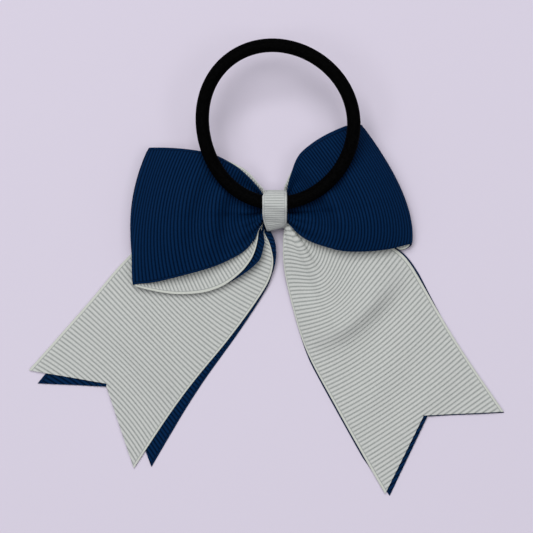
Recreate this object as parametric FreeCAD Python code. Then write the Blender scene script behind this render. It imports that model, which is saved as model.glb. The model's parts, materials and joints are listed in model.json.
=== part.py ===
"""Cheer hair bow: a two-colour ribbon bow on a round hair elastic.

It lies on its front, so the back, with the elastic, is on top. +X runs to the
right loop, +Y runs from the knot to the free end of the elastic, +Z points up.
The ribbon is a double strip, navy outside and silver inside. It runs from the
left tail across the knot into the front of the right loop, round that loop,
back across the knot, round the left loop, and across the knot to the right
tail. All points are in millimetres from the middle of the knot, and the whole
bow is moved at the end so that its origin is the middle of its footprint.
"""
import FreeCAD, Part
import math
import os

Vector = FreeCAD.Vector

# Ribbon stock
RIBBON_THICK = 0.30        # grosgrain, ribs included
LAYER_GAP = 0.10           # air between the navy and the silver strip
PLEAT_DEPTH = 0.5          # half the height of the pleats in the knot

# Centre wrap and what it holds
WRAP_WIDTH = 6.35
WRAP_THICK = 0.35
WRAP_TOP = 13.75           # over the elastic
WRAP_HALF = 5.05           # half its outside width across the bow
WRAP_SLIP = 0.35           # the spare end lies this far to the right
GATHER_LENGTH = 7.0        # along X, from one loop to the other
GATHER_HALF = 3.75         # half the gathered ribbon's width
STRIP_HEIGHTS = {"front": 2.5, "middle": 4.6, "back": 6.7}
STRIP_REACH = PLEAT_DEPTH + LAYER_GAP / 2 + RIBBON_THICK + 0.2
THREAD_THICK = 0.25
THREAD_TURNS = 5
THREAD_PITCH = 0.9
GLUE_RADIUS = 2.2

# Hair elastic
RING_MEAN_RADIUS = 20.2
RING_SIDE = 0.75           # its middle lies this far to the right of the knot
RING_DROP = 0.15           # and its circle dips this far below the pivot
RING_CORD = 3.5
RING_Y = 1.6               # where the cord passes through the wrap
RING_Z = 10.8
RING_TILT = 12.0           # how far it stands up off the loops
COVER_WALL = 0.55
STRAND_THICK = 0.7
STRAND_CIRCLE = 0.8
STRANDS = 6
JOIN_LENGTH = 5.2
JOIN_WALL = 0.12

# Guide lines of each loop, from the back of the knot round the fold to the
# front: lower selvage, middle, upper selvage.
LEFT_LOOP = {
    "lower": [(-3.75, -3.4, 6.4), (-5.2, -7.2, 6.9), (-7.3, -10.2, 7.6), (-11.7, -13.2, 8.6),
              (-19.7, -16.2, 9.2), (-27.8, -18.3, 8.4), (-33.4, -19.5, 6.6), (-37.5, -20.1, 4.6),
              (-31.0, -22.0, 3.2), (-24.6, -22.6, 2.8), (-18.1, -21.9, 3.0), (-13.3, -19.8, 4.0),
              (-9.0, -15.9, 5.6), (-6.4, -12.3, 6.6), (-5.3, -9.1, 6.2), (-4.5, -5.9, 5.2),
              (-3.75, -4.0, 4.6)],
    "middle": [(-3.75, -0.4, 6.7), (-6.6, -0.8, 7.2), (-9.8, -0.8, 7.9), (-15.9, -0.9, 9.2),
               (-22.5, -1.1, 10.2), (-30.5, -1.3, 9.2), (-35.9, -1.9, 6.6), (-38.0, -2.2, 4.6),
               (-35.8, -2.4, 2.8), (-29.2, -2.9, 2.3), (-21.2, -3.4, 2.3), (-13.2, -3.4, 2.9),
               (-7.1, -2.3, 4.0), (-3.75, -0.5, 4.6)],
    "upper": [(-3.75, 4.0, 6.4), (-5.8, 7.4, 6.8), (-9.6, 10.8, 7.5), (-14.5, 13.7, 8.2),
              (-19.5, 15.2, 8.4), (-25.6, 16.0, 7.8), (-30.4, 16.3, 6.4), (-33.2, 16.3, 4.6),
              (-31.1, 15.9, 2.8), (-25.9, 14.6, 2.1), (-18.7, 12.5, 2.1), (-10.0, 8.5, 2.9),
              (-3.75, 3.0, 4.5)],
}
RIGHT_LOOP = {
    "lower": [(3.75, -3.2, 6.4), (4.6, -4.9, 6.8), (6.7, -6.9, 7.4), (10.3, -8.8, 8.1),
              (16.1, -10.6, 8.8), (22.2, -11.1, 8.4), (28.3, -10.7, 7.0), (33.1, -9.8, 5.4),
              (36.2, -9.3, 3.6), (33.8, -10.7, 2.0), (29.6, -7.2, 1.0), (22.7, -4.8, 0.5),
              (16.0, -3.2, 0.5), (9.3, -1.9, 0.9), (5.4, -1.2, 1.8), (3.75, -0.9, 2.5)],
    "middle": [(3.75, -0.4, 6.7), (6.6, -0.2, 7.3), (11.3, 0.1, 8.3), (17.1, 0.6, 9.3),
               (23.0, 1.4, 9.6), (28.3, 2.5, 8.2), (32.0, 3.4, 6.0), (33.7, 4.2, 3.8),
               (31.7, 4.2, 1.6), (26.7, 4.0, 0.8), (20.0, 3.4, 0.5), (13.3, 2.6, 0.5),
               (8.0, 1.8, 1.1), (3.75, 1.1, 2.5)],
    "upper": [(4.0, 3.8, 6.4), (4.4, 8.7, 6.8), (4.9, 11.2, 7.1), (6.4, 14.3, 7.7),
              (9.3, 17.0, 8.3), (12.9, 19.3, 8.6), (15.9, 20.8, 8.2), (19.1, 22.1, 7.2),
              (21.8, 22.5, 5.7), (22.8, 22.2, 4.2), (20.5, 20.8, 2.2), (16.0, 18.4, 1.0),
              (11.4, 15.2, 0.6), (7.4, 10.8, 0.8), (4.8, 6.0, 1.6), (4.0, 3.2, 2.5)],
}

# Guide lines of each tail, from the knot to past its cut end: inner selvage,
# middle, outer selvage.
LEFT_TAIL = {
    "inner": [(-3.9, -3.9, 2.4), (-3.4, -6.0, 2.2), (-1.9, -8.4, 1.8), (-0.7, -11.2, 1.3),
              (-0.4, -14.0, 0.9), (-1.2, -17.5, 0.6), (-4.5, -23.2, 0.4), (-10.7, -33.6, 0.4),
              (-16.0, -42.9, 0.4), (-21.4, -51.0, 0.4), (-30.8, -61.7, 0.4), (-41.0, -72.8, 0.4)],
    "middle": [(-3.7, -1.5, 2.4), (-7.0, -5.4, 1.7), (-13.5, -12.2, 0.8), (-21.5, -20.7, 0.4),
               (-30.9, -31.7, 0.4), (-40.0, -42.5, 0.4), (-53.0, -58.4, 0.4)],
    "outer": [(-3.7, 1.2, 2.4), (-10.4, 0.4, 1.4), (-19.5, -1.6, 0.8), (-28.5, -5.2, 0.5),
              (-38.0, -11.3, 0.4), (-46.9, -21.2, 0.4), (-57.6, -33.5, 0.4), (-69.6, -47.0, 0.4)],
}
RIGHT_TAIL = {
    "inner": [(4.1, -3.9, 4.4), (4.0, -5.6, 4.1), (3.3, -8.0, 3.6), (2.9, -11.5, 2.8),
              (3.6, -17.6, 1.5), (5.6, -26.0, 0.7), (8.4, -37.2, 0.4), (12.6, -47.4, 0.4),
              (21.6, -63.1, 0.4), (32.4, -81.0, 0.4)],
    "middle": [(3.9, -2.9, 4.5), (6.9, -7.2, 3.6), (11.7, -14.1, 2.2), (18.9, -25.1, 0.8),
               (26.1, -35.8, 0.4), (33.1, -45.8, 0.4), (48.5, -69.6, 0.4)],
    "outer": [(3.7, -1.9, 4.4), (10.5, -3.9, 3.2), (20.0, -6.4, 2.0), (30.0, -9.3, 1.1),
              (35.4, -13.0, 0.7), (41.5, -20.2, 0.4), (48.6, -34.3, 0.4), (55.5, -45.6, 0.4),
              (65.0, -59.4, 0.4)],
}
# Each strip's end: outer tip, notch, inner tip, and how far the strip has
# slid sideways by then.
TAIL_ENDS = {
    "silver_tail_left": ((-66.0, -43.0), (-45.4, -46.5), (-37.9, -69.1), (0.0, 0.0)),
    "navy_tail_left": ((-63.1, -46.6), (-41.0, -47.6), (-33.1, -69.1), (3.2, -2.9)),
    "silver_tail_right": ((61.8, -54.1), (39.9, -55.1), (29.5, -76.3), (0.0, 0.0)),
    "navy_tail_right": ((61.0, -56.0), (40.8, -56.8), (30.6, -74.6), (1.2, 0.5)),
}
SLIDE_START = 0.45         # share of the tail's length where the slide begins

LOOP_ROWS = 61
TAIL_ROWS = 24
COLUMNS = 8


def guide_points(points, count):
    """Points evenly spaced along a smooth curve through the given ones."""
    curve = Part.BSplineCurve()
    curve.interpolate([Vector(*point) for point in points])
    return curve.discretize(Number=count)


def strip_grid(guides, rows):
    """Grid of points on a strip that is stretched over three guide lines."""
    low, middle, high = [guide_points(line, rows) for line in guides]
    grid = []
    for row in range(rows):
        line = []
        for column in range(COLUMNS + 1):
            across = 2 * column / COLUMNS - 1
            point = (low[row] * (across * (across - 1) / 2)
                     + middle[row] * (1 - across * across)
                     + high[row] * (across * (across + 1) / 2))
            line.append(point)
        grid.append(line)
    return grid


def offset_grid(grid, distance):
    """The same grid moved along its own normals."""
    rows = len(grid)
    columns = len(grid[0])
    moved = []
    for i in range(rows):
        line = []
        for j in range(columns):
            run = grid[min(i + 1, rows - 1)][j] - grid[max(i - 1, 0)][j]
            width = grid[i][min(j + 1, columns - 1)] - grid[i][max(j - 1, 0)]
            normal = run.cross(width)
            normal.normalize()
            line.append(grid[i][j] + normal * distance)
        moved.append(line)
    return moved


def strip_solid(grid, bottom, top):
    """A thin curved solid between two offsets of one grid."""
    surfaces = []
    for distance in (bottom, top):
        surface = Part.BSplineSurface()
        surface.interpolate(offset_grid(grid, distance))
        surfaces.append(surface)
    faces = [surface.toShape() for surface in surfaces]
    u0, u1, v0, v1 = surfaces[0].bounds()
    for u in (u0, u1):
        edges = [surface.uIso(u).toShape() for surface in surfaces]
        faces.append(Part.makeRuledSurface(*edges, 1))
    for v in (v0, v1):
        edges = [surface.vIso(v).toShape() for surface in surfaces]
        faces.append(Part.makeRuledSurface(*edges, 1))
    shell = Part.makeShell(faces)
    shell.sewShape()
    solid = Part.makeSolid(shell)
    if solid.Volume < 0:
        solid.reverse()
    return solid


def layer_offsets(side, is_navy, navy_is_up):
    """Bottom and top offset of one strip of the pair, for its side's normal."""
    half = LAYER_GAP / 2
    outward = side if is_navy == navy_is_up else -side
    limits = sorted((outward * half, outward * (half + RIBBON_THICK)))
    return limits


def slide_guides(guides, slide):
    """Guide lines that drift sideways towards the free end."""
    moved = []
    for line in guides:
        last = len(line) - 1
        shifted = []
        for index, (x, y, z) in enumerate(line):
            share = max(0.0, (index / last - SLIDE_START) / (1 - SLIDE_START)) ** 2
            shifted.append((x + slide[0] * share, y + slide[1] * share, z))
        moved.append(shifted)
    return moved


def notch_cutter(outer_tip, notch, inner_tip):
    """A wedge that cuts the swallowtail end."""
    reach = 12.0
    far = 40.0
    notch_point = Vector(notch[0], notch[1], -5)
    ends = []
    for tip in (outer_tip, inner_tip):
        edge = Vector(tip[0], tip[1], -5) - notch_point
        edge.normalize()
        ends.append(Vector(tip[0], tip[1], -5) + edge * reach)
    away = (ends[0] + ends[1]) * 0.5 - notch_point
    away.normalize()
    corners = [ends[0], notch_point, ends[1], ends[1] + away * far, ends[0] + away * far]
    face = Part.Face(Part.makePolygon(corners + corners[:1]))
    return face.extrude(Vector(0, 0, 15))


def tail(name, guides, side):
    outer_tip, notch, inner_tip, slide = TAIL_ENDS[name]
    grid = strip_grid(slide_guides(guides.values(), slide), TAIL_ROWS)
    offsets = layer_offsets(side, name.startswith("navy"), False)
    return strip_solid(grid, *offsets).cut(notch_cutter(outer_tip, notch, inner_tip))


def loop(guides, side, is_navy):
    grid = strip_grid(guides.values(), LOOP_ROWS)
    return strip_solid(grid, *layer_offsets(side, is_navy, True))


def gathered_strip(height, upper):
    """One ribbon where the knot pinches it: a pleated band along X."""
    steps = 16
    low_edge = []
    for step in range(steps + 1):
        across = 2 * step / steps - 1
        lift = -PLEAT_DEPTH * math.cos(2 * math.pi * across)
        low_edge.append(Vector(-GATHER_LENGTH / 2, across * GATHER_HALF, height + lift))
    gap = LAYER_GAP / 2
    base = gap if upper else -gap - RIBBON_THICK
    lower = [point + Vector(0, 0, base) for point in low_edge]
    higher = [point + Vector(0, 0, RIBBON_THICK) for point in lower]
    edges = []
    for points in (lower, higher[::-1]):
        curve = Part.BSplineCurve()
        curve.interpolate(points)
        edges.append(curve.toShape())
    edges.append(Part.makeLine(lower[-1], higher[-1]))
    edges.append(Part.makeLine(higher[0], lower[0]))
    face = Part.Face(Part.Wire(Part.__sortEdges__(edges)))
    return face.extrude(Vector(GATHER_LENGTH, 0, 0))


def wrap_outline(inset):
    """The wrap across the bow, inset from its outside: flat in front, humped over the cord."""
    half = WRAP_HALF - inset
    corner = 1.2 - inset
    bend = corner * (1 - math.sqrt(0.5))
    slope = inset * math.sqrt(0.5)
    high_side = Vector(0, half, 9.0)
    low_side = Vector(0, -half, 8.0)
    over_cord = [high_side, Vector(0, RING_Y + 2.8 - slope, RING_Z + 1.35 - slope),
                 Vector(0, RING_Y, WRAP_TOP - inset),
                 Vector(0, RING_Y - 2.6 + slope, RING_Z + 1.5 - slope),
                 Vector(0, RING_Y - 5.0 + slope, RING_Z - 0.7 - slope), low_side]
    crown = Part.BSplineCurve()
    crown.interpolate(over_cord, InitialTangent=Vector(0, 0, 1), FinalTangent=Vector(0, 0, -1))
    front_high = Vector(0, half - corner, inset)
    front_low = Vector(0, -half + corner, inset)
    side_high = Vector(0, half, inset + corner)
    side_low = Vector(0, -half, inset + corner)
    edges = [
        Part.makeLine(front_low, front_high),
        Part.Arc(front_high, Vector(0, half - bend, inset + bend), side_high).toShape(),
        Part.makeLine(side_high, high_side),
        crown.toShape(),
        Part.makeLine(low_side, side_low),
        Part.Arc(side_low, Vector(0, -half + bend, inset + bend), front_low).toShape(),
    ]
    return Part.Face(Part.Wire(Part.__sortEdges__(edges)))


def wrap_band(outer_inset, inner_inset, x_start):
    """A closed band between two insets of the outline, one strip's width long."""
    ring = wrap_outline(outer_inset).cut(wrap_outline(inner_inset))
    ring.translate(Vector(x_start, 0, 0))
    return ring.extrude(Vector(WRAP_WIDTH, 0, 0))


def centre_wrap():
    """The narrow ribbon goes round twice; its first turn shows at the right edge."""
    last_turn = wrap_band(0.0, WRAP_THICK, -WRAP_WIDTH / 2)
    first_turn = wrap_band(WRAP_THICK, 2 * WRAP_THICK, -WRAP_WIDTH / 2 + WRAP_SLIP)
    return last_turn.fuse(first_turn).removeSplitter()


def thread_ring(x):
    """One turn of the binding thread, a rounded square tube round the strips."""
    half = GATHER_HALF + 0.3
    low = STRIP_HEIGHTS["front"] - STRIP_REACH
    high = STRIP_HEIGHTS["back"] + STRIP_REACH
    corner = 0.8
    outer = Part.makeBox(THREAD_THICK, 2 * half + 2 * THREAD_THICK,
                         high - low + 2 * THREAD_THICK,
                         Vector(x, -half - THREAD_THICK, low - THREAD_THICK))
    inner = Part.makeBox(THREAD_THICK, 2 * half, high - low, Vector(x, -half, low))
    along_x = [edge for edge in outer.Edges if abs(edge.tangentAt(edge.FirstParameter).x) > 0.9]
    outer = outer.makeFillet(corner + THREAD_THICK, along_x)
    along_x = [edge for edge in inner.Edges if abs(edge.tangentAt(edge.FirstParameter).x) > 0.9]
    inner = inner.makeFillet(corner, along_x)
    return outer.cut(inner)


def binding_thread():
    first = -THREAD_PITCH * (THREAD_TURNS - 1) / 2 - THREAD_THICK / 2
    return Part.makeCompound([thread_ring(first + THREAD_PITCH * turn)
                              for turn in range(THREAD_TURNS)])


def hot_glue():
    """A flat dab of glue between the wrap and the front of the gathered ribbon."""
    floor = 2 * WRAP_THICK
    ceiling = STRIP_HEIGHTS["front"] - STRIP_REACH - THREAD_THICK
    return Part.makeCylinder(GLUE_RADIUS, ceiling - floor, Vector(0, 0, floor))


def ring_frame(shape):
    """Put a ring made round its own centre into its place under the wrap."""
    turn = math.degrees(math.asin(RING_SIDE / RING_MEAN_RADIUS))
    shape.rotate(Vector(0, 0, 0), Vector(0, 0, 1), -turn)
    shape.translate(Vector(RING_SIDE, RING_MEAN_RADIUS - RING_DROP, 0))
    shape.rotate(Vector(0, 0, 0), Vector(1, 0, 0), RING_TILT)
    shape.translate(Vector(0, RING_Y, RING_Z))
    return shape


def elastic_cover():
    outer = Part.makeTorus(RING_MEAN_RADIUS, RING_CORD / 2)
    inner = Part.makeTorus(RING_MEAN_RADIUS, RING_CORD / 2 - COVER_WALL)
    return ring_frame(outer.cut(inner))


def elastic_core():
    strands = [Part.makeTorus(RING_MEAN_RADIUS, STRAND_THICK / 2)]
    for index in range(STRANDS):
        angle = 2 * math.pi * index / STRANDS
        radius = RING_MEAN_RADIUS + STRAND_CIRCLE * math.cos(angle)
        strand = Part.makeTorus(radius, STRAND_THICK / 2, Vector(0, 0, STRAND_CIRCLE
                                                                 * math.sin(angle)))
        strands.append(strand)
    return ring_frame(Part.makeCompound(strands))


def elastic_join():
    """A thin sleeve of fused cover where the cord's two ends meet, in the wrap."""
    sweep = math.degrees(JOIN_LENGTH / RING_MEAN_RADIUS)
    outer = Part.makeTorus(RING_MEAN_RADIUS, RING_CORD / 2 + JOIN_WALL, Vector(0, 0, 0),
                           Vector(0, 0, 1), -180, 180, sweep)
    inner = Part.makeTorus(RING_MEAN_RADIUS, RING_CORD / 2, Vector(0, 0, 0),
                           Vector(0, 0, 1), -180, 180, sweep)
    sleeve = outer.cut(inner)
    sleeve.rotate(Vector(0, 0, 0), Vector(0, 0, 1), -90 - sweep / 2)
    return ring_frame(sleeve)


nodes = {}
for side_name, side, guides in (("left", -1, LEFT_LOOP), ("right", 1, RIGHT_LOOP)):
    nodes["navy_loop_" + side_name] = loop(guides, side, True)
    nodes["silver_loop_" + side_name] = loop(guides, side, False)
for side_name, side, guides in (("left", -1, LEFT_TAIL), ("right", 1, RIGHT_TAIL)):
    for colour in ("navy", "silver"):
        name = colour + "_tail_" + side_name
        nodes[name] = tail(name, guides, side)
for place, height in STRIP_HEIGHTS.items():
    for colour in ("navy", "silver"):
        upper = (colour == "navy") == (place == "back")
        nodes["gather_" + place + "_" + colour] = gathered_strip(height, upper)
nodes["binding_thread"] = binding_thread()
nodes["hot_glue"] = hot_glue()
nodes["centre_wrap"] = centre_wrap()
nodes["elastic_cover"] = elastic_cover()
nodes["elastic_core"] = elastic_core()
nodes["elastic_join"] = elastic_join()

points = [point for shape in nodes.values() for point in shape.tessellate(0.02)[0]]
low = [min(point[axis] for point in points) for axis in range(3)]
high = [max(point[axis] for point in points) for axis in range(3)]
origin = Vector((low[0] + high[0]) / 2, (low[1] + high[1]) / 2, low[2])
print("knot centre in the final frame, mm:", [round(-value, 4) for value in origin])

os.makedirs("parts", exist_ok=True)
for name, shape in nodes.items():
    shape.translate(-origin)
    shape.exportStep("parts/" + name + ".step")
    print(name, "solids", len(shape.Solids), "valid", shape.isValid(),
          "volume", round(shape.Volume, 2), "mm3")
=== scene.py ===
"""Cheer hair bow: two-colour grosgrain ribbon on a round hair elastic.

The bow lies on its front, so its back and the elastic face up. Places are in
millimetres from the middle of the knot, with the table at height 0, unless a
comment says metres. A strip's share across it runs from -1 to 1, edge to edge.
"""

import json
import math

import bmesh
import bpy
import numpy as np
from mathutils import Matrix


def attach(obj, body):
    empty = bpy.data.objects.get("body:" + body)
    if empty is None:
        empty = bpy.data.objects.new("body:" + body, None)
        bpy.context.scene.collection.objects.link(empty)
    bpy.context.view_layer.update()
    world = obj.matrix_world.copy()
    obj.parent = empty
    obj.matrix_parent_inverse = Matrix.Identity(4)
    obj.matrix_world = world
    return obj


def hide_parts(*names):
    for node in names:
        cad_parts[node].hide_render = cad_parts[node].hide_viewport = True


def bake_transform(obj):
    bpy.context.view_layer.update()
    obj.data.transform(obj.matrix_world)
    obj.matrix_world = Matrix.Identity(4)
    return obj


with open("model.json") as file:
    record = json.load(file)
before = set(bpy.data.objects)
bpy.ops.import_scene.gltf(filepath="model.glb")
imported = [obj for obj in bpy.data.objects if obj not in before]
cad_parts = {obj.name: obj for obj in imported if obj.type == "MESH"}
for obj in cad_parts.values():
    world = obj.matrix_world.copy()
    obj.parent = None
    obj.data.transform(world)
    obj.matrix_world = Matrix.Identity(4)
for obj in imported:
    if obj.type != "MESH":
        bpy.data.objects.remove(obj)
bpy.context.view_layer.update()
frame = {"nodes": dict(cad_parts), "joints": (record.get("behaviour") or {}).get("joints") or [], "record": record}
bpy.ops.object.select_all(action="DESELECT")

MM = 0.001
mounts = {mount["name"]: mount for mount in frame["record"]["mounts"]}
hinges = {joint["name"]: joint for joint in frame["joints"]}
knot = np.array(mounts["wrap_front"]["pos_m"])


# ---------------------------------------------------------------- studio
# A pale table, a camera straight above it, and three soft square lights round it.
# Places, sizes and powers here are in metres and watts.

TABLE_SIZE = 1.6
TABLE_COLOUR = (0.68, 0.63, 0.74, 1.0)
LIGHTS = [
    ("light_key", (-0.17, 0.5, 1.4), 0.8, 13.6),
    ("light_left", (-0.6, -0.1, 1.4), 0.7, 4.0),
    ("light_right", (0.53, -0.05, 1.4), 0.7, 3.3),
]
AIR_COLOUR = (0.92, 0.92, 1.0, 1.0)
AIR_STRENGTH = 0.2
CAMERA_HEIGHT = 0.5
CAMERA_LENS = 125.7
CAMERA_OFF_KNOT = (-0.00224, -0.01517)

bpy.context.scene.view_settings.view_transform = "Standard"

table_paint = bpy.data.materials.new("pale_table")
table_paint.use_nodes = True
table_shader = table_paint.node_tree.nodes["Principled BSDF"]
table_shader.inputs["Base Color"].default_value = TABLE_COLOUR
table_shader.inputs["Roughness"].default_value = 0.9
table_shader.inputs["Specular IOR Level"].default_value = 0.2

bpy.ops.mesh.primitive_plane_add(size=TABLE_SIZE, location=(0, 0, 0))
table = bpy.context.object
table.name = "table"
table.data.materials.append(table_paint)

for name, place, size, power in LIGHTS:
    bpy.ops.object.light_add(type="AREA", location=place)
    light = bpy.context.object
    light.name = name
    light.data.size = size
    light.data.energy = power
    aim = -light.location
    light.rotation_euler = aim.to_track_quat("-Z", "Y").to_euler()

world = bpy.data.worlds.new("studio_air")
world.use_nodes = True
world.node_tree.nodes["Background"].inputs["Color"].default_value = AIR_COLOUR
world.node_tree.nodes["Background"].inputs["Strength"].default_value = AIR_STRENGTH
bpy.context.scene.world = world

camera_place = (knot[0] + CAMERA_OFF_KNOT[0], knot[1] + CAMERA_OFF_KNOT[1], CAMERA_HEIGHT)
bpy.ops.object.camera_add(location=camera_place, rotation=(0, 0, 0))
camera = bpy.context.object
camera.data.lens = CAMERA_LENS
bpy.context.scene.camera = camera


# ---------------------------------------------------------------- grosgrain ribbon
# Both ribbons are 38 mm polyester grosgrain: round ribs across the ribbon, about
# 1 mm apart, which stop short of a flat woven selvage along each edge.

WIDE = {"width": 38.0, "selvage": 0.6, "rib_end": 1.2}
INNER_COLUMNS = 44
ROWS_PER_RIB = 8
RIB_HEIGHT = 0.36
BASE_THICK = 0.12
LAYER_GAP = 0.06
# The gathers beside the knot: two broad folds, small pleats and one crease. Each has
# a height, and fades over so many millimetres. Small pleats differ by panel.
FOLD_HEIGHT = 1.2
FOLD_FADE = 5.0
BACK_PLEAT = 0.45
FRONT_PLEAT = 1.2
TAIL_PLEAT = 0.2
PLEAT_FADE = 6.5
CREASE_DEPTH = 1.7
CREASE_PLACE = -0.08
CREASE_WIDTH = 0.07
CREASE_FADE = 8.0
TAIL_GATHER = 0.6
# The ribbon's own map counts millimetres across it and ribs along it, over this.
UV_UNIT = 10.0
FINE_POINTS = 4000


def smooth_line(points, count):
    """Evenly spaced points along a smooth curve through given ones."""
    points = np.array(points, float)
    steps = np.sqrt(np.linalg.norm(np.diff(points, axis=0), axis=1))
    knots = np.concatenate([[0.0], np.cumsum(steps)])
    last = len(points) - 1
    system = np.zeros((last + 1, last + 1))
    right = np.zeros((last + 1, 3))
    system[0, 0] = system[last, last] = 1.0
    for i in range(1, last):
        system[i, i - 1:i + 2] = steps[i - 1], 2 * (steps[i - 1] + steps[i]), steps[i]
        right[i] = 6 * ((points[i + 1] - points[i]) / steps[i]
                        - (points[i] - points[i - 1]) / steps[i - 1])
    bend = np.linalg.solve(system, right)
    where = np.linspace(0, knots[-1], FINE_POINTS)
    piece = np.clip(np.searchsorted(knots, where) - 1, 0, last - 1)
    step = steps[piece][:, None]
    a = (knots[piece + 1] - where)[:, None] / step
    b = 1 - a
    fine = (a * points[piece] + b * points[piece + 1]
            + ((a ** 3 - a) * bend[piece] + (b ** 3 - b) * bend[piece + 1]) * step ** 2 / 6)
    length = np.concatenate([[0.0], np.cumsum(np.linalg.norm(np.diff(fine, axis=0), axis=1))])
    even = np.linspace(0, length[-1], count)
    return np.stack([np.interp(even, length, fine[:, axis]) for axis in range(3)], axis=1)


def ribbon_columns(kind, inner):
    """Distances across a ribbon from one edge, closer together at the selvages."""
    selvage = kind["selvage"]
    end = kind["rib_end"]
    edge = np.concatenate([np.linspace(0, selvage, 6), np.linspace(selvage, end, 4)[1:],
                           [end + (end - selvage) / 2, 2 * end - selvage]])
    middle = np.linspace(edge[-1], kind["width"] - edge[-1], inner + 2)[1:-1]
    return np.concatenate([edge, middle, (kind["width"] - edge)[::-1]])


SELVAGE_HEIGHT = 0.45
RIB_ROUNDNESS = 0.6


def rib_profile(across, ribs, kind):
    """Height of the woven relief, from 0 in a groove to 1 on a rib."""
    wave = np.abs(np.sin(np.pi * ribs))
    edge = np.minimum(across, kind["width"] - across)
    selvage = kind["selvage"]
    span = kind["rib_end"] - selvage
    ribbed = np.clip((edge - selvage) / span, 0, 1)
    ribbed = ribbed * ribbed * (3 - 2 * ribbed)
    seam = np.exp(-((edge - selvage) / (0.3 * span)) ** 2)
    band = (SELVAGE_HEIGHT * np.clip(edge / (0.3 * selvage), 0, 1)
            + seam * (0.3 * wave - 0.25))
    return ribbed * wave ** RIB_ROUNDNESS + (1 - ribbed) * band


def pleats(share, distance, small_height):
    """Lift of the gathers at a distance from the knot."""
    folds = -FOLD_HEIGHT * np.cos(2 * np.pi * share) * np.exp(-distance / FOLD_FADE)
    small = small_height * np.cos(6 * np.pi * share) * np.exp(-distance / PLEAT_FADE)
    crease = -CREASE_DEPTH * np.exp(-((share - CREASE_PLACE) / CREASE_WIDTH) ** 2)
    return folds + small + crease * np.exp(-distance / CREASE_FADE)


def strip_points(guides, rib_count, closed_loop):
    """Points of a strip stretched over three guide lines, and its length."""
    rows = rib_count * ROWS_PER_RIB + 1
    columns = ribbon_columns(WIDE, INNER_COLUMNS)
    share = 2 * columns / WIDE["width"] - 1
    low, middle, high = [smooth_line(line, rows)[:, None, :] for line in guides]
    place = share[None, :, None]
    points = (low * place * (place - 1) / 2 + middle * (1 - place ** 2)
              + high * place * (place + 1) / 2)
    length = float(np.linalg.norm(np.diff(middle[:, 0], axis=0), axis=1).sum())
    along = np.linspace(0, length, rows)
    if closed_loop:
        points[:, :, 2] += pleats(share[None, :], along[:, None], BACK_PLEAT)
        points[:, :, 2] += pleats(share[None, :], length - along[:, None], FRONT_PLEAT)
    else:
        points[:, :, 2] += TAIL_GATHER * pleats(share[None, :], along[:, None], TAIL_PLEAT)
    return points, columns, length


def strip_normals(points, side):
    """Unit normals of a strip, towards its upper face."""
    run = np.gradient(points, axis=0)
    width = np.gradient(points, axis=1)
    normal = np.cross(run, width) * side
    return normal / np.linalg.norm(normal, axis=2, keepdims=True)


def ribbon_mesh(name, points, columns, kind=WIDE, trim=None, rows_per_rib=ROWS_PER_RIB):
    """A closed ribbon with ribs on both faces, from the points of its middle surface."""
    rows, count = points.shape[:2]
    ribs = np.arange(rows) / rows_per_rib
    mesh = bpy.data.meshes.new(name)
    vertices = (points.reshape(-1, 3) * MM + knot * np.array([1, 1, 0])).tolist()
    faces = []
    for row in range(rows - 1):
        first = row * count
        for column in range(count - 1):
            corner = first + column
            faces.append((corner, corner + 1, corner + count + 1, corner + count))
    mesh.from_pydata(vertices, [], faces)
    for label, values in (("across", np.tile(columns, rows)), ("ribs", np.repeat(ribs, count))):
        layer = mesh.attributes.new(label, "FLOAT", "POINT")
        layer.data.foreach_set("value", values)
    if trim:
        trim(mesh)
    across = np.empty(len(mesh.vertices))
    mesh.attributes["across"].data.foreach_get("value", across)
    along = np.empty(len(mesh.vertices))
    mesh.attributes["ribs"].data.foreach_get("value", along)
    relief = rib_profile(across, along, kind)
    ribbon = bpy.data.objects.new(name, mesh)
    bpy.context.collection.objects.link(ribbon)
    group = ribbon.vertex_groups.new(name="relief")
    share = (BASE_THICK + RIB_HEIGHT * relief) / (BASE_THICK + RIB_HEIGHT)
    for index, weight in enumerate(share):
        group.add([index], float(weight), "REPLACE")
    uv = mesh.uv_layers.new(name="ribbon")
    loop_vertex = np.empty(len(mesh.loops), int)
    mesh.loops.foreach_get("vertex_index", loop_vertex)
    flat = np.stack([across[loop_vertex], along[loop_vertex]], axis=1) / UV_UNIT
    uv.data.foreach_set("uv", flat.ravel())
    bpy.context.view_layer.objects.active = ribbon
    ribbon.select_set(True)
    solidify = ribbon.modifiers.new("thickness", "SOLIDIFY")
    solidify.thickness = (BASE_THICK + RIB_HEIGHT) * MM
    solidify.offset = 0
    solidify.vertex_group = "relief"
    solidify.use_rim = True
    bpy.ops.object.modifier_apply(modifier=solidify.name)
    bpy.ops.object.shade_smooth_by_angle(angle=math.radians(70))
    ribbon.select_set(False)
    return ribbon


SEAM_WIDTH = 0.2
WARP_PITCH = 0.22
WEFTS_PER_RIB = 3


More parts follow.
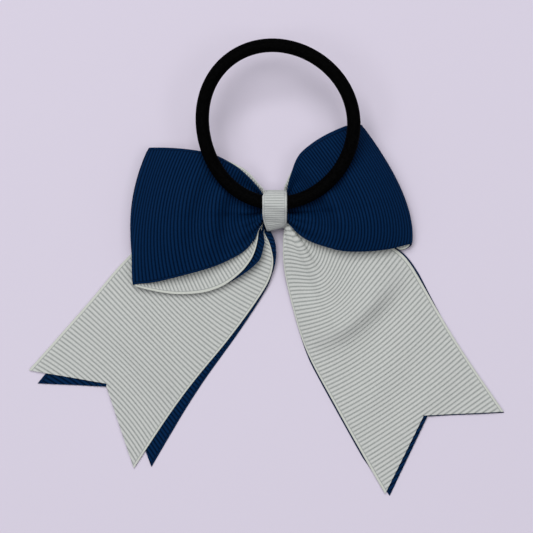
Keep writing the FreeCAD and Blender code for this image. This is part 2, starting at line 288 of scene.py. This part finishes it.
def ribbon_material(name, painted_lit_rib_colour, painted_groove_shade_colour, selvage_colour, kind, specular):
    """Grosgrain: painted light on the ribs and painted shade in the grooves and along the seam by the selvage, a
    fine mottle, fine warp threads, a plain selvage.
    """
    material = bpy.data.materials.new(name)
    material.use_nodes = True
    tree = material.node_tree
    nodes = tree.nodes
    shader = nodes["Principled BSDF"]
    shader.inputs["Roughness"].default_value = 0.6
    shader.inputs["Specular IOR Level"].default_value = specular

    def maths(operation, first, second=0.0, third=0.0):
        node = nodes.new("ShaderNodeMath")
        node.operation = operation
        for socket, value in zip(node.inputs, (first, second, third)):
            if hasattr(value, "links"):
                tree.links.new(value, socket)
            else:
                socket.default_value = value
        return node.outputs[0]

    def mixed(factor, first, second):
        node = nodes.new("ShaderNodeMix")
        node.data_type = "RGBA"
        tree.links.new(factor, node.inputs["Factor"])
        for socket, value in ((node.inputs[6], first), (node.inputs[7], second)):
            if hasattr(value, "links"):
                tree.links.new(value, socket)
            else:
                socket.default_value = (*value, 1.0)
        return node.outputs[2]

    place = nodes.new("ShaderNodeUVMap")
    place.uv_map = "ribbon"
    split = nodes.new("ShaderNodeSeparateXYZ")
    tree.links.new(place.outputs["UV"], split.inputs[0])
    across = maths("MULTIPLY", split.outputs["X"], UV_UNIT)
    ribs = maths("MULTIPLY", split.outputs["Y"], UV_UNIT)
    wave = maths("SINE", maths("MULTIPLY", ribs, math.pi))
    rib = maths("POWER", maths("ABSOLUTE", wave), 0.8)
    edge = maths("MINIMUM", across, maths("SUBTRACT", kind["width"], across))
    selvage = maths("LESS_THAN", edge, kind["selvage"])
    off_seam = maths("SUBTRACT", edge, kind["selvage"] + SEAM_WIDTH * 0.4)
    seam = maths("LESS_THAN", maths("ABSOLUTE", off_seam), SEAM_WIDTH / 2)

    mottle = nodes.new("ShaderNodeTexNoise")
    body_place = nodes.new("ShaderNodeTexCoord")
    tree.links.new(body_place.outputs["Object"], mottle.inputs["Vector"])
    mottle.inputs["Scale"].default_value = 2600.0
    mottle.inputs["Detail"].default_value = 3.0
    # The mix runs from painted shade in the grooves to painted light on the ribs, with a fine mottle of tone over
    # it.
    painted_rib_light_and_mottle = maths("MULTIPLY_ADD", mottle.outputs["Fac"], 0.5, maths("MULTIPLY_ADD", rib, 0.9, -0.2))
    painted_rib_light_and_mottle = maths("MINIMUM", maths("MAXIMUM", painted_rib_light_and_mottle, 0.0), 1.0)
    # Painted shade: the seam line beside the selvage is pulled towards the groove's painted shade.
    painted_rib_light_and_mottle = maths("MULTIPLY", painted_rib_light_and_mottle, maths("MULTIPLY_ADD", seam, -0.7, 1.0))
    ribs_with_painted_light_and_shade = mixed(painted_rib_light_and_mottle, painted_groove_shade_colour, painted_lit_rib_colour)
    tree.links.new(mixed(selvage, ribs_with_painted_light_and_shade, selvage_colour), shader.inputs["Base Color"])

    warp = maths("SINE", maths("MULTIPLY", across, 2 * math.pi / WARP_PITCH))
    weft = maths("SINE", maths("MULTIPLY", ribs, 2 * math.pi * WEFTS_PER_RIB))
    threads = maths("MULTIPLY_ADD", warp, 0.5, maths("MULTIPLY", weft, 0.25))
    bump = nodes.new("ShaderNodeBump")
    bump.inputs["Strength"].default_value = 0.25
    bump.inputs["Distance"].default_value = 0.00004
    tree.links.new(threads, bump.inputs["Height"])
    tree.links.new(bump.outputs["Normal"], shader.inputs["Normal"])
    return material


# Each cloth's rib colour is painted light and its groove colour painted shade round the cloth's own colour; the
# selvage colour is the cloth's own.
CLOTHS = {
    "navy": ribbon_material("navy_grosgrain", painted_lit_rib_colour=(0.0022, 0.020, 0.070),
                            painted_groove_shade_colour=(0.0001, 0.001, 0.005),
                            selvage_colour=(0.0014, 0.014, 0.05), kind=WIDE, specular=0.015),
    "silver": ribbon_material("silver_grosgrain", painted_lit_rib_colour=(0.60, 0.615, 0.59),
                              painted_groove_shade_colour=(0.26, 0.28, 0.272),
                              selvage_colour=(0.57, 0.59, 0.54), kind=WIDE, specular=0.1),
}


def finish_ribbon(ribbon, colour, node):
    """Give a 38 mm strip its cloth and hide the CAD node that it stands for."""
    ribbon.data.materials.append(CLOTHS[colour])
    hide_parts(node)


def layer_shift(upper):
    """How far a strip's middle lies from the pair's shared surface."""
    distance = (LAYER_GAP + BASE_THICK + RIB_HEIGHT) / 2
    return distance if upper else -distance


# ---------------------------------------------------------------- loops
# Each loop is the double ribbon turned back on itself, navy outside and silver
# inside, and pinched at the knot so that its ribs fan out round it.

LEFT_LOOP = {
    "lower": [(-3.0, -3.0, 6.3), (-3.9, -4.6, 6.6), (-5.2, -7.2, 6.8), (-7.3, -10.2, 7.0),
              (-11.7, -13.2, 7.0), (-19.7, -16.2, 6.8), (-27.8, -18.3, 6.2), (-33.4, -19.5, 5.2),
              (-37.5, -20.1, 4.0),
              (-31.0, -22.0, 3.2), (-24.6, -22.6, 2.8), (-18.1, -21.9, 3.0), (-13.3, -19.8, 4.0),
              (-9.0, -15.9, 5.6), (-6.4, -12.3, 6.6), (-5.3, -9.1, 6.2), (-4.5, -5.9, 5.2),
              (-3.0, -3.6, 4.4)],
    "middle": [(-3.0, -0.4, 6.7), (-6.6, -0.8, 7.2), (-9.8, -0.8, 7.9), (-15.9, -0.9, 9.2),
               (-22.5, -1.1, 10.2), (-30.5, -1.3, 9.2), (-35.9, -1.9, 6.6), (-38.0, -2.2, 4.6),
               (-35.8, -2.4, 2.8), (-29.2, -2.9, 2.3), (-21.2, -3.4, 2.3), (-13.2, -3.4, 2.9),
               (-7.1, -2.3, 4.0), (-3.0, -0.5, 4.6)],
    "upper": [(-3.0, 3.8, 6.4), (-5.8, 7.4, 6.8), (-9.6, 10.8, 7.5), (-14.5, 13.7, 8.2),
              (-19.5, 15.2, 8.4), (-25.6, 16.0, 7.8), (-30.4, 16.3, 6.4), (-33.2, 16.3, 4.6),
              (-31.1, 15.9, 2.8), (-25.9, 14.6, 2.1), (-18.7, 12.5, 2.1), (-10.0, 8.5, 2.9),
              (-3.0, 3.0, 4.5)],
}
RIGHT_LOOP = {
    "lower": [(3.0, -3.0, 6.4), (4.6, -4.9, 6.6), (6.7, -6.9, 6.7), (10.3, -8.8, 6.7),
              (16.1, -10.6, 6.6), (22.2, -11.1, 6.2), (28.3, -10.7, 5.4), (33.1, -9.8, 4.4),
              (36.2, -9.3, 3.1), (33.8, -10.7, 1.8), (29.6, -7.2, 1.0), (22.7, -4.8, 0.6),
              (16.0, -3.2, 0.6), (9.3, -1.9, 0.9), (5.4, -1.2, 1.8), (3.0, -0.9, 2.5)],
    "middle": [(3.0, -0.4, 6.7), (6.6, -0.2, 7.3), (11.3, 0.1, 8.3), (17.1, 0.6, 9.3),
               (23.0, 1.4, 9.6), (28.3, 2.5, 8.2), (32.0, 3.4, 6.0), (33.7, 4.2, 3.8),
               (31.7, 4.2, 1.6), (26.7, 4.0, 0.8), (20.0, 3.4, 0.6), (13.3, 2.6, 0.6),
               (8.0, 1.8, 1.1), (3.0, 1.1, 2.5)],
    "upper": [(3.0, 3.8, 6.4), (4.0, 8.7, 6.8), (4.9, 11.2, 7.1), (6.4, 14.3, 7.7),
              (9.3, 17.0, 8.3), (12.9, 19.3, 8.6), (15.9, 20.8, 8.2), (19.1, 22.1, 7.2),
              (21.8, 22.5, 5.7), (22.8, 22.2, 4.2), (20.5, 20.8, 2.2), (16.0, 18.4, 1.0),
              (11.4, 15.2, 0.7), (7.4, 10.8, 0.8), (4.4, 6.0, 1.6), (3.0, 3.2, 2.5)],
}
LOOP_RIBS = {"left": 84, "right": 80}

# Where one layer's edge has slipped past the other's. Each line names the strip and
# the panel, its far edge on the back or its near edge on the front, then the way it
# slips and the stretch, measured from the knot, where that grows, holds and fades.
LOOP_SLIPS = [
    ("silver_loop_left", "back", (0.3, 0.8, 0.0), (0.0, 1.0, 9.0, 15.0)),
    ("silver_loop_right", "back", (-0.75, 0.1, 0.0), (0.0, 1.0, 3.0, 7.0)),
    ("silver_loop_left", "front", (0.55, -0.35, 0.0), (1.0, 4.0, 12.0, 20.0)),
    ("navy_loop_left", "front", (2.1, -1.3, 0.0), (0.0, 4.0, 8.0, 18.0)),
]


# The back panel's furrow lies beside its far edge, the lip is the edge itself, and the
# ripples run round the knot.
FURROW_DEPTH = 1.9
FURROW_PLACE = 0.68
FURROW_WIDTH = 0.17
LIP_HEIGHT = 0.5
LIP_WIDTH = 0.12
FURROW_REACH = 17.0
RIPPLE_HEIGHT = 1.0
RIPPLE_TURN = 0.7
RIPPLE_SKEW = 2.0
RIPPLE_START = 1.6
RIPPLE_GROWTH = 8.0


def back_folds(share, distance):
    """Lift of the folds in a loop's back panel."""
    furrow = -FURROW_DEPTH * np.exp(-((share - FURROW_PLACE) / FURROW_WIDTH) ** 2)
    lip = LIP_HEIGHT * np.exp(-((share - 1.0) / LIP_WIDTH) ** 2)
    ripple = RIPPLE_HEIGHT * np.sin(RIPPLE_TURN * distance + RIPPLE_SKEW * share - RIPPLE_START)
    ripple = ripple * np.clip(distance / RIPPLE_GROWTH, 0, 1)
    return (furrow + lip) * np.exp(-(distance / FURROW_REACH) ** 2) + ripple * (1 - share ** 2)


for side_name, side, guides in (("left", -1, LEFT_LOOP), ("right", 1, RIGHT_LOOP)):
    points, columns, length = strip_points(guides.values(), LOOP_RIBS[side_name], True)
    share = (2 * columns / WIDE["width"] - 1)[None, :]
    along = np.linspace(0, length, len(points))[:, None]
    # The folds fade out between a fifth and two fifths of the way round.
    on_back = np.clip(2.0 - 5.0 * along / length, 0, 1)
    points[:, :, 2] += on_back * back_folds(share, along)
    normals = strip_normals(points, side)
    for colour, is_outer in (("navy", True), ("silver", False)):
        moved = points + normals * layer_shift(is_outer)
        name = colour + "_loop_" + side_name
        for strip, panel, way, stretch in LOOP_SLIPS:
            if strip != name:
                continue
            from_knot = along if panel == "back" else length - along
            edge = np.clip((share if panel == "back" else -share) * 2 - 1, 0, 1)
            slip = edge * np.interp(from_knot, stretch, (0, 1, 1, 0))
            moved += slip[:, :, None] * np.array(way)
        loop = ribbon_mesh(name + "_ribbon", moved, columns)
        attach(loop, "knot")
        finish_ribbon(loop, colour, name)


# ---------------------------------------------------------------- tails
# The two free ends, silver up and navy under, cut to swallowtails. The navy
# strip of each has slid sideways a little, so that its edge shows.

LEFT_TAIL = {
    "inner": [(-3.0, -3.6, 2.8), (-2.9, -5.6, 3.5), (-1.7, -8.0, 3.7), (-0.7, -11.2, 3.4),
              (-0.4, -14.0, 2.8), (-1.3, -18.2, 2.0), (-3.5, -22.3, 1.2), (-7.5, -28.1, 0.8),
              (-13.9, -36.5, 0.5), (-18.7, -42.2, 0.5), (-27.7, -54.0, 0.5), (-37.7, -69.1, 0.5),
              (-41.3, -74.4, 0.5)],
    "middle": [(-3.0, -1.2, 2.4), (-7.0, -5.4, 1.7), (-13.5, -12.2, 0.9), (-21.5, -20.7, 0.5),
               (-30.9, -31.7, 0.5), (-40.0, -42.5, 0.5), (-53.0, -58.4, 0.5)],
    "outer": [(-3.0, 1.2, 2.4), (-10.4, 0.4, 1.4), (-19.5, -1.6, 0.8), (-28.5, -5.2, 0.6),
              (-38.0, -11.3, 0.5), (-46.9, -21.2, 0.5), (-57.6, -33.5, 0.5), (-69.6, -47.0, 0.5)],
}
RIGHT_TAIL = {
    "inner": [(3.0, -3.6, 4.4), (2.5, -5.4, 4.3), (2.2, -8.0, 4.0), (2.2, -12.5, 3.0),
              (3.0, -18.6, 1.6), (5.0, -26.8, 0.7), (8.3, -37.2, 0.5), (13.4, -47.4, 0.5),
              (22.1, -63.1, 0.5), (32.4, -81.0, 0.5)],
    "middle": [(3.0, -2.4, 4.5), (6.9, -7.2, 3.6), (11.7, -14.1, 2.2), (18.9, -25.1, 0.8),
               (26.1, -35.8, 0.5), (33.1, -45.8, 0.5), (48.5, -69.6, 0.5)],
    "outer": [(3.0, -1.4, 4.4), (10.5, -3.9, 3.2), (20.0, -6.4, 2.0), (30.0, -9.3, 1.1),
              (35.2, -13.1, 0.7), (39.9, -20.4, 0.5), (48.1, -34.4, 0.5), (55.5, -45.6, 0.5),
              (65.0, -59.4, 0.5)],
}
# Each strip's end: outer tip, notch and inner tip.
TAIL_ENDS = {
    "silver_tail_left": ((-66.0, -43.0), (-45.4, -46.5), (-37.9, -69.1)),
    "navy_tail_left": ((-63.1, -46.6), (-41.0, -47.6), (-33.1, -69.1)),
    "silver_tail_right": ((61.8, -54.1), (39.9, -55.1), (29.5, -76.3)),
    "navy_tail_right": ((60.0, -54.5), (40.9, -55.4), (32.6, -73.0)),
}
# Where the navy strip has slipped past the silver one: the edge that slipped, with 0
# for both, the way it went, and how much of that by which share of the length.
TAIL_SLIPS = [
    ("navy_tail_left", 0, (3.2, -2.9, 0.0), (0.12, 0.45, 0.75, 1.0), (0.0, 0.3, 0.75, 1.0)),
    ("navy_tail_left", -1, (1.5, 0.4, 0.0), (0.0, 0.03, 0.08, 0.17), (0.0, 1.0, 0.8, 0.0)),
    ("navy_tail_right", 1, (0.5, 0.3, 0.0), (0.12, 0.25, 0.45, 0.6), (0.0, 1.0, 1.0, 0.0)),
    ("navy_tail_right", -1, (-0.34, -0.21, 0.0), (0.3, 0.45, 0.8, 1.0), (0.0, 1.0, 1.0, -3.0)),
]
# How the gathers pull the ribs into a bow beside the knot: how far, where across the
# ribbon, how far from the knot, and the height of the soft fold there.
TAIL_BOWS = {"left": (1.6, 0.3, 9.0, 0.35), "right": (3.4, -0.2, 13.0, 0.5)}
BOW_START = 5.0
BOW_FADE = 14.0
BOW_WIDTH = 0.6
# Slow waves over the rest of a tail, turned so far a millimetre and skewed across it.
WAVE_HEIGHT = 0.25
WAVE_TURN = 0.42
WAVE_SKEW = 3.0
WAVE_GROWTH = 12.0
# A soft ridge along the ribs, steeper towards the free end: where it is, and its height.
TAIL_RIDGES = {"left": (50.0, 0.7), "right": (31.5, 3.3)}
RIDGE_RISE = 9.0
RIDGE_FALL = 3.8
TAIL_RIBS = {"left": 76, "right": 77}


def bow_ribs(points, columns, length, reach, centre, distance, height):
    """Draw the ribs towards the free end beside the knot, over a soft fold and slow waves."""
    share = (2 * columns / WIDE["width"] - 1)[None, :]
    along = np.linspace(0, length, len(points))[:, None]
    fade = np.maximum(along - distance, 0) / BOW_FADE
    near = np.clip(along / BOW_START, 0, 1) * np.exp(-fade ** 2)
    across = np.exp(-((share - centre) / BOW_WIDTH) ** 2) * (1 - share ** 2)
    run = np.gradient(points, axis=0)
    run[:, :, 2] = 0
    run /= np.linalg.norm(run, axis=2, keepdims=True)
    points += run * (reach * near * across)[:, :, None]
    fold = (np.exp(-((share - centre) / 0.15) ** 2)
            - 0.5 * np.exp(-((share - centre + 0.25) / 0.12) ** 2))
    points[:, :, 2] += height * fold * near
    wave = (1 + np.sin(WAVE_TURN * along + WAVE_SKEW * share)) * (1 - share ** 2)
    points[:, :, 2] += WAVE_HEIGHT * wave * np.clip(along / WAVE_GROWTH, 0, 1)


def raise_ridge(points, columns, length, crest, height):
    """Lift a soft ridge along the ribs, which fades towards both edges."""
    share = (2 * columns / WIDE["width"] - 1)[None, :]
    past = np.linspace(-crest, length - crest, len(points))[:, None]
    ridge = np.exp(-(past / np.where(past < 0, RIDGE_RISE, RIDGE_FALL)) ** 2)
    points[:, :, 2] += height * ridge * np.clip(1.1 - share ** 2, 0, 1) ** 1.5


def slip_strip(name, points, columns):
    """Slip a strip, or one of its edges, sideways past the strip it lies on."""
    share = (2 * columns / WIDE["width"] - 1)[None, :]
    run = np.linspace(0, 1, len(points))[:, None]
    for strip, edge, way, places, amounts in TAIL_SLIPS:
        if strip == name:
            reach = np.clip(edge * share * 2 - 1, 0, 1) if edge else np.ones_like(share)
            points += (np.interp(run, places, amounts) * reach)[:, :, None] * np.array(way)


def swallowtail(outer_tip, notch, inner_tip):
    """A trim that cuts a flat strip to a swallowtail, one straight cut a side."""
    def in_place(point):
        return np.array([point[0], point[1], 0.0]) * MM + knot

    def trim(mesh):
        shape = bmesh.new()
        shape.from_mesh(mesh)
        corner = in_place(notch)
        tips = [in_place(outer_tip), in_place(inner_tip)]
        away = (tips[0] + tips[1]) / 2 - corner
        split = np.cross(away, (0, 0, 1))
        bmesh.ops.bisect_plane(shape, geom=shape.verts[:] + shape.edges[:] + shape.faces[:],
                               plane_co=corner, plane_no=split, dist=1e-7)
        for tip in tips:
            this_side = math.copysign(1.0, float(np.dot(tip - corner, split)))
            faces = [face for face in shape.faces
                     if np.dot(np.array(face.calc_center_median()) - corner, split) * this_side > 0]
            geometry = set(faces)
            for face in faces:
                geometry.update(face.verts)
                geometry.update(face.edges)
            out = np.cross(tip - corner, (0, 0, 1))
            out *= math.copysign(1.0, float(np.dot(out, away)))
            bmesh.ops.bisect_plane(shape, geom=list(geometry), plane_co=corner, plane_no=out,
                                   clear_outer=True, dist=1e-7)
        loose = [vertex for vertex in shape.verts if not vertex.link_faces]
        bmesh.ops.delete(shape, geom=loose, context="VERTS")
        shape.to_mesh(mesh)
        shape.free()

    return trim


for side_name, side, guides in (("left", -1, LEFT_TAIL), ("right", 1, RIGHT_TAIL)):
    body = side_name + "_tail"
    # The hinge's axis gives the run along the strip, which nothing below uses.
    hinge = hinges[body + "_swing"]
    run = np.cross(hinge["axis"], (0, 0, 1))
    if run[1] > 0:
        run = -run
    for colour, is_upper in (("silver", True), ("navy", False)):
        name = colour + "_tail_" + side_name
        points, columns, length = strip_points(guides.values(), TAIL_RIBS[side_name], False)
        bow_ribs(points, columns, length, *TAIL_BOWS[side_name])
        raise_ridge(points, columns, length, *TAIL_RIDGES[side_name])
        slip_strip(name, points, columns)
        moved = points + strip_normals(points, side) * layer_shift(is_upper)
        tail = ribbon_mesh(name + "_ribbon", moved, columns, trim=swallowtail(*TAIL_ENDS[name]))
        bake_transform(tail)
        finish_ribbon(tail, colour, name)


# ---------------------------------------------------------------- gathered strips
# Inside the knot the two ribbons cross three times, pleated down to a fifth of
# their width, so that the loops and tails join into one length of ribbon.

GATHER_HALF_WIDTH = 3.4
GATHER_REACH = 3.05
GATHER_RIBS = 6
GATHER_HEIGHTS = {"front": 2.45, "middle": 4.5, "back": 6.6}

for place_name, height in GATHER_HEIGHTS.items():
    line = np.linspace(-GATHER_REACH, GATHER_REACH, GATHER_RIBS * ROWS_PER_RIB + 1)
    columns = ribbon_columns(WIDE, INNER_COLUMNS)
    share = 2 * columns / WIDE["width"] - 1
    points = np.zeros((len(line), len(columns), 3))
    points[:, :, 0] = line[:, None]
    points[:, :, 1] = GATHER_HALF_WIDTH * share[None, :]
    points[:, :, 2] = height + pleats(share[None, :], 0.0, BACK_PLEAT)
    for colour in ("navy", "silver"):
        moved = points.copy()
        moved[:, :, 2] += layer_shift((colour == "navy") == (place_name == "back"))
        gather = ribbon_mesh("gather_" + place_name + "_" + colour + "_ribbon",
                             moved, columns)
        gather.data.materials.append(CLOTHS[colour])
        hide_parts("gather_" + place_name + "_" + colour)
        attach(gather, "knot")


# ---------------------------------------------------------------- thread and glue
# Polyester thread binds the pleats, and a bead of hot glue holds the wrap's tail.
# Both are hidden inside the knot and keep their plain shapes.

def mottled_material(name, dark, light, roughness, specular, scale):
    """A plain finish with a fine mottle between two colours."""
    material = bpy.data.materials.new(name)
    material.use_nodes = True
    nodes = material.node_tree.nodes
    links = material.node_tree.links
    shader = nodes["Principled BSDF"]
    shader.inputs["Roughness"].default_value = roughness
    shader.inputs["Specular IOR Level"].default_value = specular
    noise = nodes.new("ShaderNodeTexNoise")
    body_place = nodes.new("ShaderNodeTexCoord")
    links.new(body_place.outputs["Object"], noise.inputs["Vector"])
    noise.inputs["Scale"].default_value = scale
    noise.inputs["Detail"].default_value = 4.0
    ramp = nodes.new("ShaderNodeValToRGB")
    ramp.color_ramp.elements[0].position = 0.35
    ramp.color_ramp.elements[1].position = 0.65
    ramp.color_ramp.elements[0].color = (*dark, 1)
    ramp.color_ramp.elements[1].color = (*light, 1)
    links.new(noise.outputs["Fac"], ramp.inputs["Fac"])
    links.new(ramp.outputs["Color"], shader.inputs["Base Color"])
    return material


HIDDEN_FINISHES = {
    "binding_thread": mottled_material("twisted_thread", (0.42, 0.43, 0.42), (0.62, 0.63, 0.61),
                                       0.6, 0.2, 3000.0),
    "hot_glue": mottled_material("cured_glue", (0.74, 0.72, 0.64), (0.85, 0.84, 0.77),
                                 0.35, 0.5, 400.0),
}
for node, finish in HIDDEN_FINISHES.items():
    hidden_mesh = frame["nodes"][node].data
    hidden_mesh.materials.clear()
    hidden_mesh.materials.append(finish)


# ---------------------------------------------------------------- centre wrap
# A 6 mm ribbon goes twice round the knot and the elastic. Its first turn shows
# at the right edge, and it pulls askew where it goes under the front.

NARROW = {"width": 6.35, "selvage": 0.4, "rib_end": 0.85}
WRAP_RIB_PITCH = 0.8
WRAP_INNER_COLUMNS = 14
WRAP_OUTLINE = [(0.0, 0.0), (3.3, 0.0), (4.6, 0.35), (5.05, 1.6), (5.1, 5.2), (5.0, 9.0),
                (4.35, 12.1), (1.6, 13.75), (-1.1, 12.2), (-3.2, 9.6), (-4.9, 6.8),
                (-5.2, 4.6), (-5.1, 1.6), (-4.6, 0.35), (-3.3, 0.0), (0.0, 0.0)]
WRAP_TURNS = 2
WRAP_SLIP = 0.1
WRAP_PLACE = -0.15
WRAP_ROWS_PER_RIB = 6
WRAP_LAYER = 0.33
LOW_DRAW = 0.6
LOW_SLANT = 0.65
FAR_DRAW = 0.4
CREST_RIPPLE = 0.12

outline = smooth_line([(0.0, y, z) for y, z in WRAP_OUTLINE], 800)
perimeter = float(np.linalg.norm(np.diff(outline, axis=0), axis=1).sum())
wrap_ribs = round(WRAP_TURNS * perimeter / WRAP_RIB_PITCH)
turn_share = np.linspace(0, WRAP_TURNS, wrap_ribs * WRAP_ROWS_PER_RIB + 1)
stations = np.linspace(0, 1, len(outline))
tangent = np.gradient(outline, axis=0)
inward = np.stack([0 * tangent[:, 0], -tangent[:, 2], tangent[:, 1]], axis=1)
inward /= np.linalg.norm(inward, axis=1, keepdims=True)
spot = np.mod(turn_share, 1.0)
base = np.stack([np.interp(spot, stations, outline[:, axis]) for axis in range(3)], axis=1)
lean = np.stack([np.interp(spot, stations, inward[:, axis]) for axis in range(3)], axis=1)
outer_share = np.clip((turn_share - 0.94) / 0.1, 0, 1)
inset = 0.55 * WRAP_LAYER + WRAP_LAYER * (1 - outer_share)
base += lean * inset[:, None]
wrap_columns = ribbon_columns(NARROW, WRAP_INNER_COLUMNS)
points = np.repeat(base[:, None, :], len(wrap_columns), axis=1)
share = 2 * wrap_columns / NARROW["width"] - 1
points[:, :, 0] = share * NARROW["width"] / 2 + (WRAP_SLIP * (1 - outer_share))[:, None]
# The edges draw in and slant where the wrap goes under, and one draws in at the far side.
low_side = np.clip((-base[:, 1] - 1.0) / 4.0, 0, 1)[:, None] ** 2
points[:, :, 0] += low_side * LOW_DRAW * (1 - share)
points[:, :, 1] += low_side * LOW_SLANT * share
far_side = np.clip((base[:, 1] - 3.2) / 1.6, 0, 1)[:, None] * (base[:, 2] > 6.0)[:, None]
points[:, :, 0] += far_side * FAR_DRAW * (1 - share)
crest = (base[:, 2] > 8.5)[:, None]
points[:, :, 2] += CREST_RIPPLE * np.sin(2.1 * points[:, :, 1] + 1.5 * share) * crest
points[:, :, 0] += WRAP_PLACE
wrap = ribbon_mesh("centre_wrap_ribbon", points, wrap_columns, kind=NARROW,
                   rows_per_rib=WRAP_ROWS_PER_RIB)
# Its rib colour is painted light and its groove colour painted shade, as on the wide ribbons.
wrap.data.materials.append(ribbon_material(
    "silver_narrow_grosgrain", painted_lit_rib_colour=(0.56, 0.58, 0.56), painted_groove_shade_colour=(0.34, 0.36, 0.35),
    selvage_colour=(0.52, 0.54, 0.52), kind=NARROW, specular=0.2))
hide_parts("centre_wrap")
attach(wrap, "knot")


# ---------------------------------------------------------------- hair elastic
# A ring of rubber strands in a knitted black cover, 3.5 mm thick. Held tight at
# the knot, it is slightly egg-shaped, and it stands up a little off the loops.

CORD_RADIUS = 1.72
KNIT_HEIGHT = 0.06
WALES = 20
STITCHES = 150
STITCH_SLANT = 1.2
COVER_RINGS = 1100
COVER_SIDES = 80
OUTER_STRANDS = 6
STRAND_RADIUS = 0.34
STRAND_CIRCLE = 0.85
SLEEVE_LENGTH = 5.2
SLEEVE_WALL = 0.1
RING_MIDDLE = (0.55, 20.7)
RING_RADIUS = 20.2
RING_OVAL = 0.57
RING_OVAL_TURN = math.radians(106)
RING_SLACK = 0.29
RING_SLACK_TURN = math.radians(11)

ring_axis = np.array(mounts["ponytail_ring"]["axis"])
ring_up = np.cross(ring_axis, (1.0, 0.0, 0.0))
ring_pivot = np.array(hinges["elastic_tilt"]["pos_m"])


def ring_points(turn):
    """Points in metres on the cord's middle line, and the outward directions there."""
    angle = turn - np.pi / 2
    radius = (RING_RADIUS + RING_OVAL * np.cos(2 * (angle - RING_OVAL_TURN))
              + RING_SLACK * np.cos(3 * (angle - RING_SLACK_TURN)))
    change = (-2 * RING_OVAL * np.sin(2 * (angle - RING_OVAL_TURN))
              - 3 * RING_SLACK * np.sin(3 * (angle - RING_SLACK_TURN)))
    spoke = np.exp(1j * angle)
    flat = complex(*RING_MIDDLE) + radius * spoke
    run = (change + 1j * radius) * spoke
    outward = run / np.abs(run) * -1j

    def in_place(values):
        return values.real[..., None] * np.array([1.0, 0, 0]) + values.imag[..., None] * ring_up

    return in_place(flat) * MM + ring_pivot, in_place(outward)


def ring_tube(name, turns, around, radius, closed, offset=(0.0, 0.0)):
    """A tube along the ring; radius and offset are in millimetres off its middle line."""
    middle, outward = ring_points(turns)
    angles = np.linspace(0, 2 * np.pi, around, endpoint=False)
    reach = radius(turns[:, None], angles[None, :])
    side = (offset[0] + reach * np.cos(angles))[:, :, None] * outward[:, None, :]
    lift = (offset[1] + reach * np.sin(angles))[:, :, None] * ring_axis
    points = middle[:, None, :] + (side + lift) * MM
    count = len(turns)
    faces = []
    for i in range(count if closed else count - 1):
        for j in range(around):
            k = (j + 1) % around
            after = (i + 1) % count
            faces.append((i * around + j, after * around + j, after * around + k, i * around + k))
    if not closed:
        faces.append(tuple(range(around)))
        faces.append(tuple(range(count * around - 1, (count - 1) * around - 1, -1)))
    mesh = bpy.data.meshes.new(name)
    mesh.from_pydata(points.reshape(-1, 3).tolist(), [], faces)
    tube = bpy.data.objects.new(name, mesh)
    bpy.context.collection.objects.link(tube)
    tube.select_set(True)
    bpy.context.view_layer.objects.active = tube
    bpy.ops.object.shade_smooth()
    tube.select_set(False)
    return tube


def knit(turn, angle):
    """Radius of the cover: a herringbone of small stitches in lengthwise wales."""
    across = angle * WALES / 2
    wale = np.abs(np.sin(across)) ** 0.6
    slant = STITCH_SLANT * np.cos(2 * across)
    stitch = np.abs(np.sin(turn * STITCHES + slant))
    return CORD_RADIUS + KNIT_HEIGHT * wale * (0.5 + 0.5 * stitch)


def plain_radius(size):
    return lambda turn, angle: size + 0 * (turn + angle)


black_knit = mottled_material("black_knit", (0.0003, 0.0003, 0.0003),
                              (0.0016, 0.0016, 0.0018), 0.7, 0.015, 1800.0)
rubber = mottled_material("rubber_strands", (0.01, 0.01, 0.011), (0.03, 0.03, 0.033),
                          0.5, 0.4, 900.0)

whole_turn = np.linspace(0, 2 * np.pi, COVER_RINGS, endpoint=False)
cover = ring_tube("elastic_knit_cover", whole_turn, COVER_SIDES, knit, True)
cover.data.materials.append(black_knit)
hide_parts("elastic_cover")
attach(cover, "elastic")

half_sleeve = SLEEVE_LENGTH / 2 / RING_RADIUS
sleeve = ring_tube("elastic_fused_join", np.linspace(-half_sleeve, half_sleeve, 40), COVER_SIDES,
                   plain_radius(CORD_RADIUS + KNIT_HEIGHT + SLEEVE_WALL), False)
sleeve.data.materials.append(black_knit)
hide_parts("elastic_join")
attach(sleeve, "elastic")

for index in range(OUTER_STRANDS + 1):
    angle = 2 * np.pi * index / OUTER_STRANDS
    away = STRAND_CIRCLE if index < OUTER_STRANDS else 0.0
    strand = ring_tube("elastic_strand_" + str(index + 1), whole_turn[::4], 12,
                       plain_radius(STRAND_RADIUS), True,
                       (away * math.cos(angle), away * math.sin(angle)))
    strand.data.materials.append(rubber)
    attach(strand, "elastic")
    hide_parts("elastic_core")
